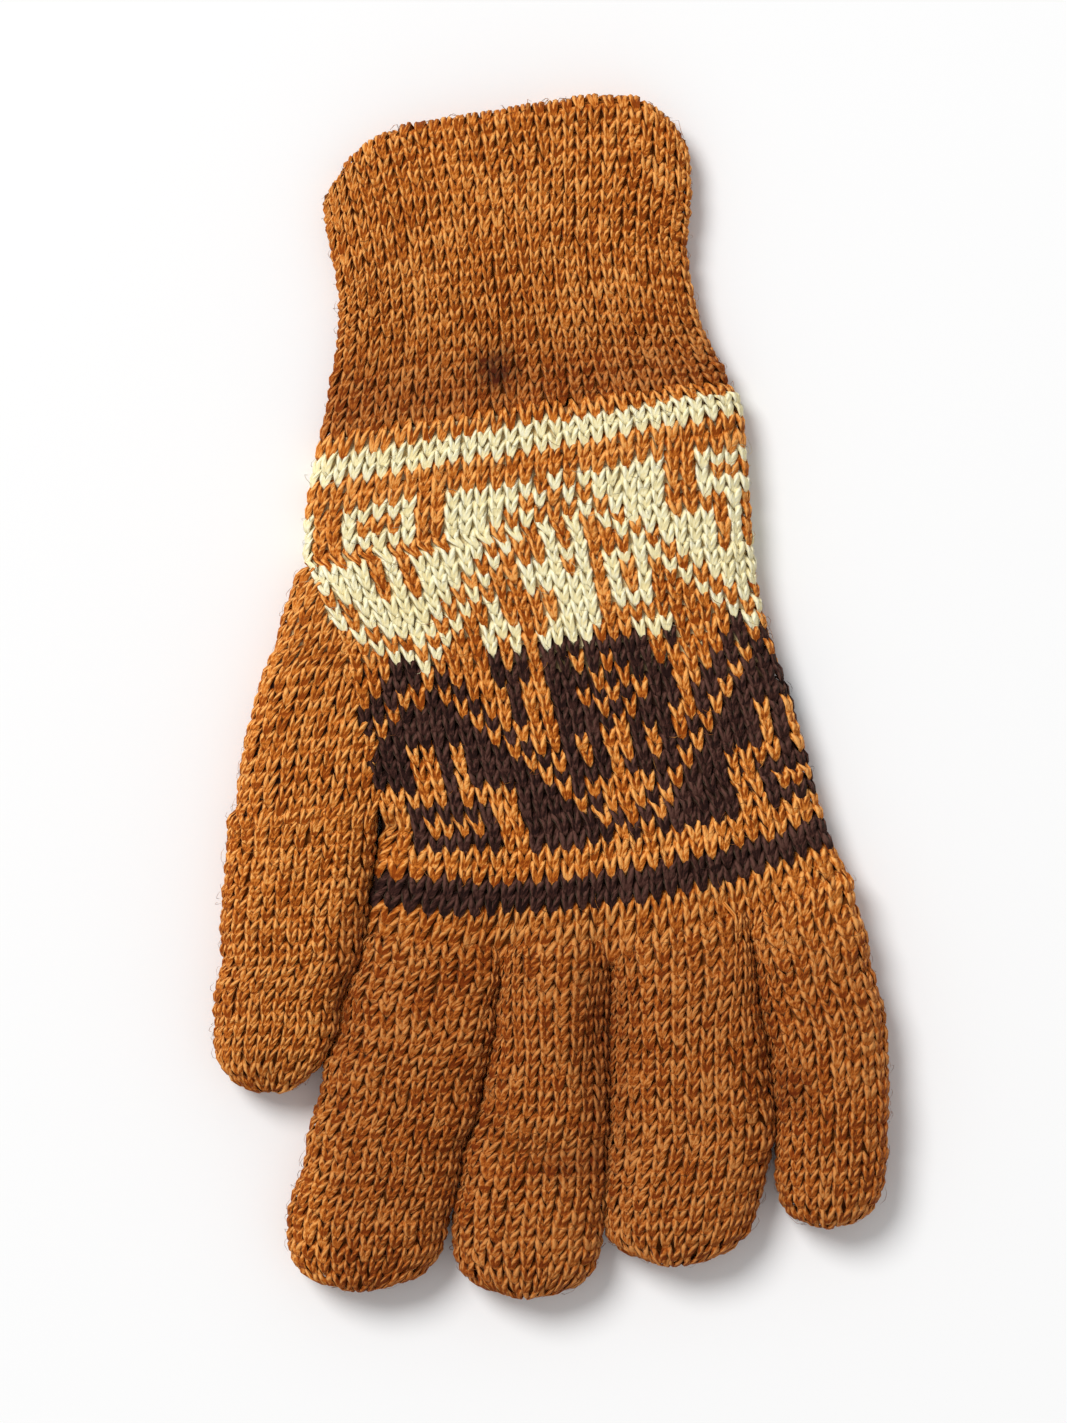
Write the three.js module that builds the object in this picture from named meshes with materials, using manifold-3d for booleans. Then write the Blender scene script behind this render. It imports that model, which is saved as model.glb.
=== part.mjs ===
import * as THREE from 'three';
import { mergeVertices } from 'three/addons/utils/BufferGeometryUtils.js';
import Module from 'manifold-3d';

// A knitted glove lying flat, palm down. Fingers point to -Y, the cuff to +Y, the thumb to -X.
// Millimetres. Every tube is a wall of knit round a hollow that is open to the next tube.

// Knit
const knitWall = 2.6;
const tubeGap = 0.3;

// Lengths
const cuffLength = 65;
const handLength = 109;
const gussetLength = 52;
const thumbLength = 60;
const indexLength = 72;
const middleLength = 73;
const ringLength = 69.5;
const littleLength = 69;

// Widths, laid flat
const cuffWidth = 78;
const palmWidth = 95;
const thumbWidth = 34;
const indexWidth = 34;
const middleWidth = 32;
const ringWidth = 35;
const littleWidth = 24;

// Heights above the surface that the glove lies on
const cuffHeight = 12;
const handHeight = 14;
const thumbHeight = 15;
const fingerHeight = 16;

// Rounded ends
const fingerTipDepth = 17;
const thumbTipDepth = 15;
const lipRound = 0.8;
const lipDepth = 1.4;
const backLipReach = 0.8;
const lipFade = 8;

// The section of a tube: mid height of its widest line, and how flat it lies
const midShare = 0.46;
const flattenShare = 0.12;

// Facets
const cuffSteps = 18;
const handSteps = 24;
const fingerSteps = 10;
const rowsBetween = 2;
const outerRings = 6;
const innerRings = 4;
const capSteps = 4;
const capEnd = THREE.MathUtils.degToRad(82);
const capCrowding = 1.35;
const capThinning = 0.75;
const capShrink = 0.36;

// Rows of the cuff, from the mouth to the wrist. Ends of each row as shares of the cuff's width and
// length, measured from the middle of the wrist. bow lifts the middle of the row towards the mouth, and
// arch is how squarely it does.
const cuffRows = [
  { leftX: -0.573, leftY: 0.692, rightX: 0.445, rightY: 0.876, bow: 0.2, arch: 6, height: 0.96 },
  { leftX: -0.551, leftY: 0.56, rightX: 0.448, rightY: 0.7, bow: 0.15, arch: 5, height: 1 },
  { leftX: -0.524, leftY: 0.375, rightX: 0.437, rightY: 0.526, bow: 0.09, arch: 3.4, height: 0.98 },
  { leftX: -0.53, leftY: 0.209, rightX: 0.472, rightY: 0.303, bow: 0.055, arch: 3, height: 0.93 },
];

// Rows of the hand, from the wrist to the knuckles, as shares of the palm's width and the hand's length.
const handRows = [
  { leftX: -0.474, leftY: 0.054, rightX: 0.455, rightY: -0.052, bow: 0.004, height: 0.84 },
  { leftX: -0.492, leftY: 0.123, rightX: 0.48, rightY: -0.015, bow: 0, height: 0.94 },
  { leftX: -0.507, leftY: 0.298, rightX: 0.5, rightY: 0.174, bow: 0, height: 1 },
  { leftX: -0.423, leftY: 0.477, rightX: 0.523, rightY: 0.382, bow: -0.012, height: 1.02 },
  { leftX: -0.379, leftY: 0.672, rightX: 0.594, rightY: 0.584, bow: -0.03, height: 1.02 },
  { leftX: -0.343, leftY: 0.802, rightX: 0.637, rightY: 0.716, bow: -0.044, height: 1 },
  { leftX: -0.358, leftY: 0.95, rightX: 0.683, rightY: 0.848, bow: -0.06, height: 1 },
  { leftX: -0.375, leftY: 1.06, rightX: 0.735, rightY: 0.945, bow: -0.073, height: 1 },
];
const crotchRow = 5;

// The gusset, from its point to the crotch of the thumb. up is a share of the gusset's length above the
// crotch, out is how far it stands out of the hand's left side, a share of the thumb's width.
const gussetRows = [
  { up: 1.06, out: 0, height: 0.9 },
  { up: 0.94, out: 0.15, height: 0.92 },
  { up: 0.82, out: 0.3, height: 0.93 },
  { up: 0.63, out: 0.53, height: 0.95 },
  { up: 0.43, out: 0.67, height: 0.97 },
  { up: 0.22, out: 0.79, height: 1 },
  { up: 0, out: 0.935, height: 1 },
];

// The thumb below its crotch, lying along the side of the hand.
const thumbRows = [
  { along: 0, width: 0.935, height: 1 },
  { along: 0.12, width: 0.94, height: 1 },
  { along: 0.31, width: 0.925, height: 1.02 },
  { along: 0.55, width: 0.865, height: 1.03 },
  { along: 0.75, width: 0.785, height: 1 },
  { along: 1, width: 0.64, height: 0.98 },
];
const thumbRowTilt = 0.06;
const webOverlap = 0.7;

// Widths of the fingers along their length, each a share of the finger's own width. open is how far the
// index stands off the middle finger and the ring finger off the little one, shares of the longest finger.
const fingerRows = [
  { along: 0, index: 0.875, middle: 0.73, ring: 0.865, little: 0.92, open: 0 },
  { along: 0.2, index: 0.97, middle: 0.77, ring: 0.915, little: 1.0, open: 0 },
  { along: 0.4, index: 1.01, middle: 0.86, ring: 0.99, little: 1.03, open: 0 },
  { along: 0.6, index: 0.99, middle: 0.99, ring: 1.03, little: 1.01, open: 0 },
  { along: 0.8, index: 1.01, middle: 1.02, ring: 0.98, little: 1.0, open: 0.024 },
  { along: 1, index: 1.02, middle: 1.0, ring: 0.94, little: 0.96, open: 0.05 },
];
const fingers = [
  { name: 'index_finger', key: 'index', width: indexWidth, length: indexLength },
  { name: 'middle_finger', key: 'middle', width: middleWidth, length: middleLength },
  { name: 'ring_finger', key: 'ring', width: ringWidth, length: ringLength },
  { name: 'little_finger', key: 'little', width: littleWidth, length: littleLength },
];
// Height and squareness of a finger along its length: square where it leaves the hand, then round.
const fingerSections = [
  { along: 0, height: 0.875, power: 4.4 },
  { along: 0.2, height: 0.95, power: 3 },
  { along: 0.5, height: 1, power: 2.6 },
  { along: 0.8, height: 1, power: 2.5 },
  { along: 1, height: 0.96, power: 2.4 },
];

// Dents in the upper side. along and length are shares of the tube's own length, across and width run
// from -1 at its left side to 1 at its right, depth is a share of its height.
const dents = {
  cuff: [
    { along: 0.86, across: -0.1, length: 0.16, width: 1.2, depth: 0.1 },
    { along: 0.45, across: 0.35, length: 0.3, width: 0.4, depth: 0.05 },
  ],
  hand: [
    { along: 0.5, across: -0.2, length: 0.18, width: 0.5, depth: 0.05 },
  ],
  index_finger: [
    { along: 0.42, across: 0.2, length: 0.1, width: 0.5, depth: 0.06 },
  ],
  middle_finger: [
    { along: 0.2, across: 0.95, length: 0.2, width: 0.4, depth: 0.25 },
    { along: 0.56, across: 0, length: 0.05, width: 0.8, depth: 0.12 },
  ],
  ring_finger: [
    { along: 0.16, across: -0.95, length: 0.2, width: 0.35, depth: 0.22 },
    { along: 0.55, across: 0.1, length: 0.09, width: 0.5, depth: 0.05 },
  ],
  little_finger: [
    { along: 0.3, across: -0.3, length: 0.12, width: 0.5, depth: 0.05 },
  ],
  thumb: [
    { along: 0.3, across: 0.25, length: 0.14, width: 0.5, depth: 0.06 },
  ],
};
const knuckleDent = { along: 1, length: 0.1, width: 0.13, depth: 0.26 };

// Smooth rows between the rows of a table
function blendRows(rows, position) {
  const last = rows.length - 1;
  const place = THREE.MathUtils.clamp(position, 0, 1) * last;
  const curve = (pick) => new THREE.CatmullRomCurve3(rows.map(pick), false, 'centripetal');
  const left = curve((row) => row.left).getPoint(place / last);
  const right = curve((row) => row.right).getPoint(place / last);
  const shape = curve((row) => new THREE.Vector3(row.bow, row.height, row.arch)).getPoint(place / last);
  return { left, right, bow: shape.x, height: shape.y, arch: shape.z, power: rows[0].power };
}

// A value from a table by its along column
function valueAt(rows, along, key) {
  const place = THREE.MathUtils.clamp(along, rows[0].along, rows.at(-1).along);
  const next = Math.max(1, rows.findIndex((row) => row.along >= place));
  const share = (place - rows[next - 1].along) / (rows[next].along - rows[next - 1].along);
  const smooth = share * share * (3 - 2 * share);
  return THREE.MathUtils.lerp(rows[next - 1][key], rows[next][key], smooth);
}

function dentDepth(list, along, across) {
  return list.reduce((sum, dent) => {
    const lengthwise = (along - dent.along) / dent.length;
    const crosswise = (across - dent.across) / dent.width;
    return sum + dent.depth * Math.exp(-lengthwise * lengthwise - crosswise * crosswise);
  }, 0);
}

// One closed ring of points: over the top from left to right, then back underneath.
function ringPoints(row, steps, inset, dentList) {
  const height = row.height * (1 - 2 * (row.shrink ?? 0));
  const base = row.height * (row.shrink ?? 0);
  const mid = height * midShare;
  const floor = Math.min(inset, mid);
  const points = [];
  const place = (across, upper) => {
    const round = Math.pow(Math.max(0, 1 - Math.pow(Math.abs(across), row.power)), 1 / row.power);
    const left = row.left.x + inset;
    const right = row.right.x - inset;
    const x = THREE.MathUtils.lerp(left, right, (across + 1) / 2);
    const along = THREE.MathUtils.lerp(row.left.y, row.right.y, (across + 1) / 2);
    const lip = upper ? 0 : (row.backReach ?? 0);
    const y = along + (row.bow + lip) * (1 - Math.pow(Math.abs(across), row.arch));
    const dent = 1 - dentDepth(dentList, row.along ?? 0, across);
    const top = mid + Math.max(0, (height - inset) * dent - mid) * round;
    const bottom = Math.max(floor, mid - (mid - floor + height * flattenShare) * round);
    return new THREE.Vector3(x, y, base + (upper ? top : bottom));
  };
  for (let step = 0; step <= steps; step += 1) {
    points.push(place(-Math.cos((Math.PI * step) / steps), true));
  }
  for (let step = steps - 1; step > 0; step -= 1) {
    points.push(place(-Math.cos((Math.PI * step) / steps), false));
  }
  return points;
}

// A solid through the rings, closed at both ends by strips between its upper and lower side.
function loft(rings) {
  const count = rings[0].length;
  const positions = rings.flat().flatMap((point) => point.toArray());
  const index = [];
  for (let ring = 0; ring + 1 < rings.length; ring += 1) {
    for (let step = 0; step < count; step += 1) {
      const a = ring * count + step;
      const b = ring * count + ((step + 1) % count);
      index.push(a, a + count, b, b, a + count, b + count);
    }
  }
  const closeEnd = (first, outwards) => {
    for (let step = 0; step < count / 2; step += 1) {
      const upper = first + step;
      const upperNext = first + step + 1;
      const lower = first + ((count - step) % count);
      const lowerNext = first + ((count - step - 1) % count);
      const strip = [upper, upperNext, lowerNext, upper, lowerNext, lower];
      for (let corner = 0; corner < strip.length; corner += 3) {
        const [a, b, c] = strip.slice(corner, corner + 3);
        if (a !== b && b !== c && c !== a) {
          index.push(...(outwards ? [a, b, c] : [a, c, b]));
        }
      }
    }
  };
  closeEnd(0, true);
  closeEnd((rings.length - 1) * count, false);
  const geometry = new THREE.BufferGeometry();
  geometry.setAttribute('position', new THREE.Float32BufferAttribute(positions, 3));
  geometry.setIndex(index);
  return geometry;
}

const wasm = await Module();
wasm.setup();

function solid(geometry) {
  const merged = mergeVertices(geometry);
  return new wasm.Manifold(new wasm.Mesh({
    numProp: 3,
    vertProperties: merged.attributes.position.array,
    triVerts: Uint32Array.from(merged.index.array),
  }));
}

function tube(rows, steps, inset, dentList) {
  return solid(loft(rows.map((row) => ringPoints(row, steps, inset + (row.inset ?? 0), dentList))));
}

// Rows at even steps through a table of rows
function resample(rows, between) {
  const total = (rows.length - 1) * between;
  return Array.from({ length: total + 1 }, (unused, step) => {
    return { ...blendRows(rows, step / total), along: step / total };
  });
}

const shiftedRow = (row, distance) => ({
  ...row,
  left: row.left.clone().add(new THREE.Vector3(0, distance, 0)),
  right: row.right.clone().add(new THREE.Vector3(0, distance, 0)),
});

// Where the wrist, the palm and the cuff run
const tubePower = 3;
const plainArch = 2;
const placeRow = (row, width, length, height, direction) => ({
  left: new THREE.Vector3(row.leftX * width, direction * row.leftY * length, 0),
  right: new THREE.Vector3(row.rightX * width, direction * row.rightY * length, 0),
  bow: row.bow * length,
  arch: row.arch ?? plainArch,
  height: row.height * height,
  power: tubePower,
});
const palm = handRows.map((row) => placeRow(row, palmWidth, handLength, handHeight, -1));
const wrist = palm[0];
const cuffTable = [
  ...cuffRows.map((row) => placeRow(row, cuffWidth, cuffLength, cuffHeight, 1)),
  shiftedRow(wrist, tubeGap),
];
const knuckles = palm.at(-1);

// The creases between the fingers start on the knuckle line, spaced by the widths of the fingers.
const baseWidths = fingers.map((finger) => finger.width * fingerRows[0][finger.key]);
const baseTotal = baseWidths.reduce((sum, width) => sum + width, 0);
const knuckleSpan = knuckles.right.x - knuckles.left.x;
const knuckleScale = knuckleSpan / baseTotal;
const creaseAcross = [0, 1, 2, 3, 4].map((crease) => {
  const before = baseWidths.slice(0, crease).reduce((sum, width) => sum + width, 0);
  return (2 * before) / baseTotal - 1;
});
const knucklePoint = (across) => new THREE.Vector3(
  THREE.MathUtils.lerp(knuckles.left.x, knuckles.right.x, (across + 1) / 2),
  THREE.MathUtils.lerp(knuckles.left.y, knuckles.right.y, (across + 1) / 2)
    + knuckles.bow * (1 - across * across),
  0,
);
const longestFinger = Math.max(...fingers.map((finger) => finger.length));
const anchorCrease = 2;

// x of one side of a finger at a height y. Widths add up from the crease between the middle and the ring
// finger, and the open gaps push the index and the little finger outwards.
function fingerSide(number, side, y) {
  const crease = side === 'left' ? number : number + 1;
  const along = (knucklePoint(creaseAcross[crease]).y - y) / longestFinger;
  const settle = THREE.MathUtils.clamp(along / fingerRows[1].along, 0, 1);
  const widths = fingers.map((finger) => {
    return finger.width * valueAt(fingerRows, along, finger.key) * THREE.MathUtils.lerp(knuckleScale, 1, settle);
  });
  const open = valueAt(fingerRows, along, 'open') * longestFinger;
  const anchor = knucklePoint(creaseAcross[anchorCrease]).x;
  const middleLeft = anchor - widths[1];
  const indexRight = middleLeft - open;
  const ringRight = anchor + widths[2];
  const littleLeft = ringRight + open;
  const left = [indexRight - widths[0], middleLeft, anchor, littleLeft][number];
  const right = [indexRight, anchor, ringRight, littleLeft + widths[3]][number];
  return side === 'left' ? left + tubeGap / 2 : right - tubeGap / 2;
}

// Rings of a rounded end: an ellipse in plan that also thins towards its tip.
function capRows(rowAt, length, depth, inset) {
  const start = length - depth;
  const reach = depth - inset;
  return Array.from({ length: capSteps }, (unused, step) => {
    const angle = capEnd * (1 - Math.pow(1 - (step + 1) / capSteps, capCrowding));
    const row = rowAt((start + (reach * Math.sin(angle)) / Math.sin(capEnd)) / length);
    const narrow = Math.cos(angle);
    const centre = row.left.clone().lerp(row.right, 0.5);
    const width = row.right.x - row.left.x;
    const keep = ((width - 2 * inset) * narrow + 2 * inset) / width;
    return {
      ...row,
      left: row.left.clone().lerp(centre, 1 - keep),
      right: row.right.clone().lerp(centre, 1 - keep),
      shrink: (1 - Math.pow(narrow, capThinning)) * capShrink,
    };
  });
}

function fingerRow(number, finger, along) {
  const leftBase = knucklePoint(creaseAcross[number]);
  const rightBase = knucklePoint(creaseAcross[number + 1]);
  const middle = (leftBase.y + rightBase.y) / 2;
  const level = middle - tubeGap - along * finger.length;
  const leftY = level + (leftBase.y - middle) * (1 - along);
  const rightY = level + (rightBase.y - middle) * (1 - along);
  const span = (creaseAcross[number + 1] - creaseAcross[number]) / 2;
  const section = (key) => valueAt(fingerSections, along, key);
  return {
    left: new THREE.Vector3(fingerSide(number, 'left', leftY), leftY, 0),
    right: new THREE.Vector3(fingerSide(number, 'right', rightY), rightY, 0),
    bow: knuckles.bow * span * span * (1 + along),
    arch: plainArch,
    height: section('height') * fingerHeight,
    power: section('power'),
    along,
  };
}

// x of the left side of the hand and of the index finger below it
const handSide = resample(palm, 6);
function sideOfHand(y) {
  if (y < knuckles.left.y) {
    return fingerSide(0, 'left', y);
  }
  const below = Math.max(1, handSide.findIndex((row) => row.left.y <= y));
  const above = handSide[below - 1].left;
  const under = handSide[below].left;
  return THREE.MathUtils.lerp(above.x, under.x, (above.y - y) / (above.y - under.y));
}

const crotch = palm[crotchRow].left;
function gussetRow(row) {
  const y = crotch.y + row.up * gussetLength;
  const left = sideOfHand(y) - row.out * thumbWidth;
  const right = Math.min(left + thumbWidth, left + thumbWidth * gussetRows.at(-1).out + webOverlap * knitWall);
  return {
    left: new THREE.Vector3(left, y - thumbRowTilt * thumbWidth, 0),
    right: new THREE.Vector3(right, y, 0),
    bow: 0,
    arch: plainArch,
    height: row.height * thumbHeight,
    power: tubePower,
  };
}

function thumbRow(along) {
  const y = crotch.y - tubeGap - along * thumbLength;
  const right = sideOfHand(y) - tubeGap;
  const width = valueAt(thumbRows, along, 'width') * thumbWidth;
  return {
    left: new THREE.Vector3(right - width, y - thumbRowTilt * thumbWidth * (1 - along), 0),
    right: new THREE.Vector3(right, y, 0),
    bow: 0,
    arch: plainArch,
    height: valueAt(thumbRows, along, 'height') * thumbHeight,
    power: tubePower,
    along,
  };
}

// A closed tube with a rounded tip: rings down its length, then the cap.
function fingerTube(rowAt, length, tipDepth, rings, inset, dentList) {
  const straight = (length - tipDepth) / length;
  const body = Array.from({ length: rings + 1 }, (unused, step) => rowAt((straight * step) / rings));
  const rows = [...body, ...capRows(rowAt, length, tipDepth, inset)];
  if (inset > 0) {
    rows.unshift(shiftedRow(rowAt(0), inset));
  }
  return tube(rows, fingerSteps, inset, dentList);
}

function hollowFinger(rowAt, length, tipDepth, dentList) {
  const outer = fingerTube(rowAt, length, tipDepth, outerRings, 0, dentList);
  return outer.subtract(fingerTube(rowAt, length, tipDepth, innerRings, knitWall, dentList));
}

function makeCuff() {
  const rows = resample(cuffTable, rowsBetween);
  const [mouth, ...rest] = rows.map((row) => ({ ...row, backReach: backLipReach * (1 - row.along) ** lipFade }));
  const inside = shiftedRow(mouth, -lipDepth);
  const outer = tube([{ ...mouth, inset: lipRound }, inside, ...rest], cuffSteps, 0, dents.cuff);
  const hollow = tube([
    { ...shiftedRow(mouth, lipDepth), inset: -lipRound },
    { ...mouth, inset: -lipRound },
    inside,
    ...rest,
    shiftedRow(rest.at(-1), -knitWall),
  ], cuffSteps, knitWall, dents.cuff);
  return outer.subtract(hollow);
}

function makeHand() {
  const creases = creaseAcross.slice(1, -1).map((across) => ({ ...knuckleDent, across }));
  const dentList = [...dents.hand, ...creases];
  const rows = resample(palm, rowsBetween);
  const gusset = resample(gussetRows.map(gussetRow), 1);
  const [first, last] = [rows[0], rows.at(-1)];
  const through = [shiftedRow(first, knitWall), ...rows, shiftedRow(last, -knitWall)];
  const gussetThrough = [...gusset, shiftedRow(gusset.at(-1), -knitWall)];
  const outer = tube(rows, handSteps, 0, dentList).add(tube(gusset, fingerSteps, 0, []));
  const hollow = tube(through, handSteps, knitWall, dentList).add(tube(gussetThrough, fingerSteps, knitWall, []));
  return outer.subtract(hollow);
}

const caramelKnit = new THREE.MeshStandardMaterial({ color: 0xbd7434, roughness: 0.95, metalness: 0 });
const patternedKnit = new THREE.MeshStandardMaterial({ color: 0xd8b57c, roughness: 0.95, metalness: 0 });

function toMesh(manifold, name, material) {
  const { vertProperties, triVerts, numProp } = manifold.getMesh();
  const geometry = new THREE.BufferGeometry();
  geometry.setAttribute('position', new THREE.BufferAttribute(new Float32Array(vertProperties), numProp));
  geometry.setIndex(new THREE.BufferAttribute(new Uint32Array(triVerts), 1));
  geometry.computeVertexNormals();
  const mesh = new THREE.Mesh(geometry, material);
  mesh.name = name;
  return mesh;
}

const glove = new THREE.Group();
glove.add(toMesh(makeCuff(), 'cuff', caramelKnit));
glove.add(toMesh(makeHand(), 'hand', patternedKnit));
glove.add(toMesh(hollowFinger(thumbRow, thumbLength, thumbTipDepth, dents.thumb), 'thumb', caramelKnit));
fingers.forEach((finger, number) => {
  const rowAt = (along) => fingerRow(number, finger, along);
  const shape = hollowFinger(rowAt, finger.length, fingerTipDepth, dents[finger.name]);
  glove.add(toMesh(shape, finger.name, caramelKnit));
});

// The origin is on the surface that the glove lies on, under the middle of its outline.
const outline = new THREE.Box3().setFromObject(glove, true);
const middle = outline.getCenter(new THREE.Vector3());
glove.position.set(-middle.x, -middle.y, -outline.min.z);
glove.updateMatrixWorld(true);

export default glove;
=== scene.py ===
import functools
import math
import bmesh
import bpy
import numpy as np
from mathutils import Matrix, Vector
from mathutils.bvhtree import BVHTree


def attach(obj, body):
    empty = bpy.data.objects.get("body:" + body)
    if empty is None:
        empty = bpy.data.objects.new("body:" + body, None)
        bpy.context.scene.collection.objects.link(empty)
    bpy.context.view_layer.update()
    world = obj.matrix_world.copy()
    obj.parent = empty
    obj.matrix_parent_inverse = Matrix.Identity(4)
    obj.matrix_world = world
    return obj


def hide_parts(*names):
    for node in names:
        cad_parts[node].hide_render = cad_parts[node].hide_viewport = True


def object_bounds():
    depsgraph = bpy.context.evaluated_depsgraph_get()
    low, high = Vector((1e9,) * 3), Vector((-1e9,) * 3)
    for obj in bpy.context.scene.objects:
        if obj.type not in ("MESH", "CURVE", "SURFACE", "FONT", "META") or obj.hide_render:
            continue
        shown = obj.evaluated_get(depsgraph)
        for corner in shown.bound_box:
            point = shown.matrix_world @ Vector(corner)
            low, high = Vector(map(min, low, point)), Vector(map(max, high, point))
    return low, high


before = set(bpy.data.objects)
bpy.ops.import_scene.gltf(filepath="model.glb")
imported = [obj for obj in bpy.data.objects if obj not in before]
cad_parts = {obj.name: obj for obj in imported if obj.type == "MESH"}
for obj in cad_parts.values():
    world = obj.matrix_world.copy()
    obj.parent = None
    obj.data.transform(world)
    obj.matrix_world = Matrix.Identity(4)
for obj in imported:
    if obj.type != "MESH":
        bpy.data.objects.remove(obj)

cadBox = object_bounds()
mm = 0.001
print("frame loaded")

# Sizes of the glove's tubes, millimetres, fingers towards -Y, measured from the middle of the wrist
glove = {
    "wall": 2.6, "gap": 0.3,
    "cuffLength": 65, "handLength": 109, "gussetLength": 52, "thumbLength": 60,
    "cuffWidth": 78, "palmWidth": 95, "thumbWidth": 34,
    "cuffHeight": 12, "handHeight": 14, "thumbHeight": 15, "fingerHeight": 16,
    "fingerTip": 17, "thumbTip": 15, "backLip": 0.8, "lipFade": 8,
    "midShare": 0.46, "flattenShare": 0.12, "tubePower": 3,
    "capThinning": 0.75, "capShrink": 0.36, "thumbTilt": 0.06, "fingerBlunt": 2.9, "thumbBlunt": 2.4,
}
fingers = [
    {"name": "index_finger", "width": 34, "length": 72, "lean": -0.8},
    {"name": "middle_finger", "width": 32, "length": 73, "lean": -2.0},
    {"name": "ring_finger", "width": 35, "length": 69.5, "lean": -2.4},
    {"name": "little_finger", "width": 24, "length": 69, "lean": -0.5},
]

# leftX, leftY, rightX, rightY, bow, arch, height: shares of the width and length, mouth to wrist
cuffTable = [
    (-0.573, 0.692, 0.445, 0.876, 0.2, 6, 0.96),
    (-0.551, 0.56, 0.448, 0.7, 0.15, 5, 1),
    (-0.524, 0.375, 0.437, 0.526, 0.09, 3.4, 0.98),
    (-0.53, 0.209, 0.472, 0.303, 0.055, 3, 0.93),
]
# The same from the wrist to the knuckles, lengths towards the fingers
handTable = [
    (-0.474, 0.054, 0.455, -0.052, 0.004, 2, 0.84),
    (-0.492, 0.123, 0.48, -0.015, 0, 2, 0.94),
    (-0.507, 0.298, 0.5, 0.174, 0, 2, 1),
    (-0.423, 0.477, 0.523, 0.382, -0.012, 2, 1.02),
    (-0.379, 0.672, 0.594, 0.584, -0.03, 2, 1.02),
    (-0.343, 0.802, 0.637, 0.716, -0.044, 2, 1),
    (-0.358, 0.95, 0.683, 0.848, -0.06, 2, 1),
    (-0.375, 1.06, 0.735, 0.945, -0.073, 2, 1),
]
crotchRow = 5
# up the gusset from the crotch, out of the hand's left side, height
gussetTable = [(-0.1, 0.935, 1), (0, 0.935, 1), (0.22, 0.79, 1), (0.43, 0.67, 0.97), (0.63, 0.53, 0.95),
               (0.82, 0.3, 0.93), (0.94, 0.15, 0.92), (1.06, 0, 0.9), (1.2, 0, 0.9)]
webOverlap = 0.7
# along the thumb, width, height
thumbTable = [(0, 0.935, 1), (0.12, 0.94, 1), (0.31, 0.925, 1.02), (0.55, 0.865, 1.03), (0.75, 0.785, 1),
              (1, 0.64, 0.98)]
# along a finger, widths of index, middle, ring and little, how far the outer two stand off
fingerTable = [
    (0, 0.875, 0.73, 0.865, 0.92, 0),
    (0.2, 0.97, 0.77, 0.915, 1.0, 0),
    (0.4, 1.01, 0.86, 0.99, 1.03, 0),
    (0.6, 0.99, 0.99, 1.03, 1.01, 0),
    (0.8, 1.01, 1.02, 0.98, 1.0, 0.024),
    (1, 1.02, 1.0, 0.94, 0.96, 0.05),
]
# along a finger, height, squareness
sectionTable = [(0, 0.875, 4.4), (0.2, 0.95, 3), (0.5, 1, 2.6), (0.8, 1, 2.5), (1, 0.96, 2.4)]
# along, across, length, width, depth of the dents in the upper side
dents = {
    "cuff": [(0.86, -0.1, 0.16, 1.2, 0.1), (0.45, 0.35, 0.3, 0.4, 0.05)],
    "hand": [(0.5, -0.2, 0.18, 0.5, 0.05)],
    "index_finger": [(0.42, 0.2, 0.1, 0.5, 0.06)],
    "middle_finger": [(0.2, 0.95, 0.2, 0.4, 0.25), (0.56, 0, 0.05, 0.8, 0.12)],
    "ring_finger": [(0.16, -0.95, 0.2, 0.35, 0.22), (0.55, 0.1, 0.09, 0.5, 0.05)],
    "little_finger": [(0.3, -0.3, 0.12, 0.5, 0.05)],
    "thumb": [(0.3, 0.25, 0.14, 0.5, 0.06)],
}
knuckleDent = (1, 0.1, 0.13, 0.26)


def smoothCurve(points, place):
    # a smooth curve through the rows of a table, place from 0 to 1
    points = np.asarray(points, float)
    last = len(points) - 1
    spot = min(max(place, 0.0), 1.0) * last
    first = min(int(spot), last - 1)
    share = spot - first
    here, there = points[first], points[first + 1]
    before = points[first - 1] if first > 0 else 2 * here - there
    after = points[first + 2] if first + 2 <= last else 2 * there - here

    def reach(a, b):
        return np.sum((b - a) ** 2) ** 0.25

    middle = reach(here, there) or 1.0
    start = reach(before, here) or middle
    end = reach(there, after) or middle
    leave = ((here - before) / start - (there - before) / (start + middle) + (there - here) / middle) * middle
    arrive = ((there - here) / middle - (after - here) / (middle + end) + (after - there) / end) * middle
    square = (-3 * here + 3 * there - 2 * leave - arrive) * share ** 2
    cube = (2 * here - 2 * there + leave + arrive) * share ** 3
    return here + leave * share + square + cube


def easedValue(table, along, column):
    # a value from a table by its first column, eased between its rows
    steps = [row[0] for row in table]
    along = min(max(along, steps[0]), steps[-1])
    after = max(1, next(number for number, step in enumerate(steps) if step >= along))
    share = (along - steps[after - 1]) / (steps[after] - steps[after - 1])
    share = share * share * (3 - 2 * share)
    return table[after - 1][column] * (1 - share) + table[after][column] * share


def tableRows(table, width, length, height, direction):
    rows = []
    for leftX, leftY, rightX, rightY, bow, arch, tall in table:
        rows.append({
            "left": (leftX * width, direction * leftY * length),
            "right": (rightX * width, direction * rightY * length),
            "shape": (bow * length, tall * height, arch),
        })
    return rows


def rowBetween(rows, place):
    bow, height, arch = smoothCurve([row["shape"] for row in rows], place)
    return {
        "left": smoothCurve([row["left"] for row in rows], place),
        "right": smoothCurve([row["right"] for row in rows], place),
        "bow": bow, "height": height, "arch": arch, "power": glove["tubePower"], "along": place,
    }


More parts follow.
